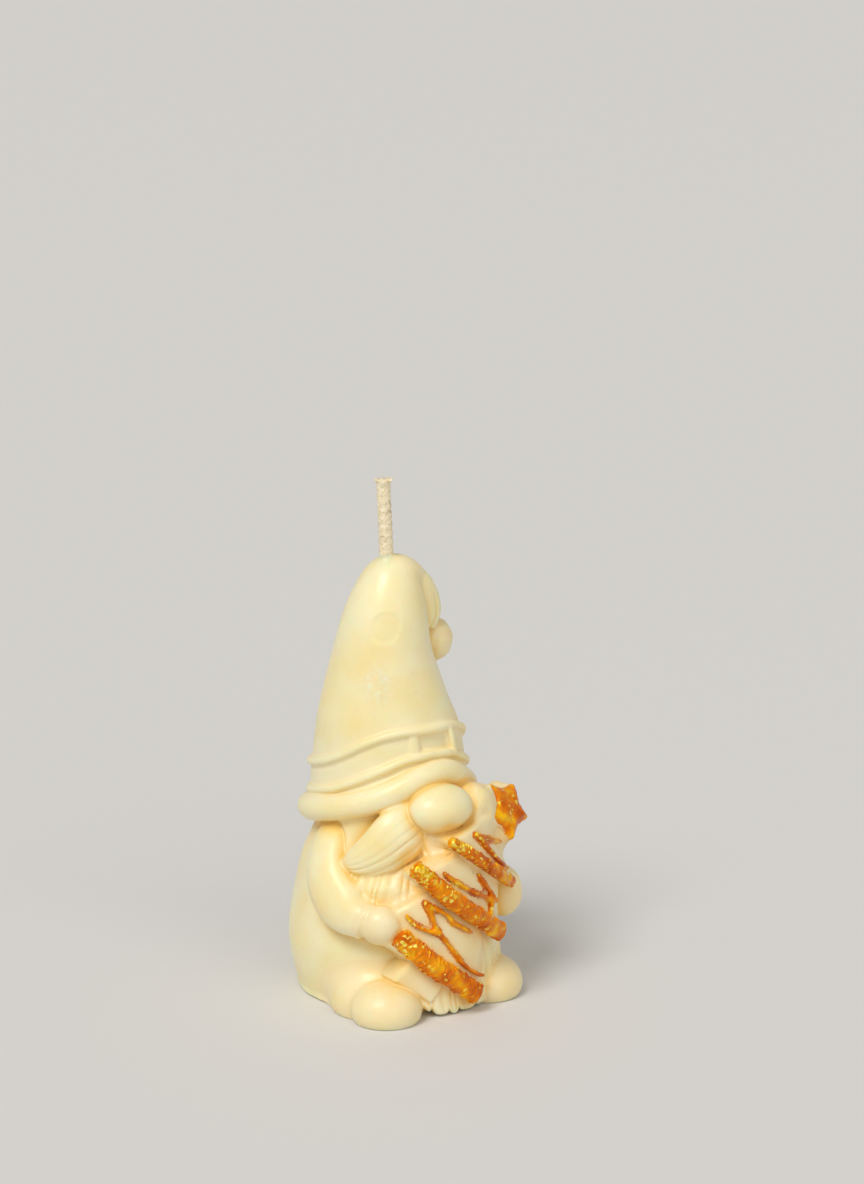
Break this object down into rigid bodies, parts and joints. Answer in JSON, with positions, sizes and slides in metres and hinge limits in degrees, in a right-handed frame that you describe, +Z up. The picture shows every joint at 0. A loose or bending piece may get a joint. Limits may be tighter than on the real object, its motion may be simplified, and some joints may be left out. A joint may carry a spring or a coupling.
{
  "type": "figural candle",
  "caption": "Cast wax candle shaped as a bearded gnome in a tall hat, holding a small fir tree with a star; gold glitter gel trim and a cotton wick.",
  "frame": {"origin": "centre of the candle's outline on the surface it stands on", "axes": "+Z up along the wick, -Y the way the gnome faces, +X towards the gnome's left hand"},
  "size_m": [0.0424, 0.045, 0.1008],
  "materials": {
    "ivory_wax": "satin cast wax, translucent ivory",
    "cream_wax": "satin cast wax, translucent cream",
    "gold_gel": "glossy amber gel full of gold glitter",
    "wick_cotton": "braided cotton, stiff with wax"
  },
  "bodies": {
    "root": {"wick": "wick_cotton", "hat_brim": "ivory_wax", "body": "ivory_wax", "hat_crown": "ivory_wax", "hat_cord_lower": "ivory_wax", "hat_cord_upper": "ivory_wax", "buckle_bar_right": "ivory_wax", "buckle_bar_left": "ivory_wax", "hat_tip": "ivory_wax", "pompom": "cream_wax", "nose": "ivory_wax", "moustache_right": "ivory_wax", "moustache_left": "ivory_wax", "trouser_right": "cream_wax", "trouser_left": "cream_wax", "boot_right": "cream_wax", "boot_left": "cream_wax", "arm_right": "ivory_wax", "arm_left": "ivory_wax", "mitten_right": "cream_wax", "mitten_left": "cream_wax", "beard": "ivory_wax", "tree_tier_bottom": "cream_wax", "tree_tier_middle": "cream_wax", "star": "cream_wax", "tree_tier_top": "cream_wax", "tree_trunk": "cream_wax", "star_gel": "gold_gel", "garland_bottom": "gold_gel", "garland_middle": "gold_gel", "garland_top": "gold_gel", "trail_top": "gold_gel", "trail_middle": "gold_gel", "trail_bottom": "gold_gel"}
  },
  "joints": []
}
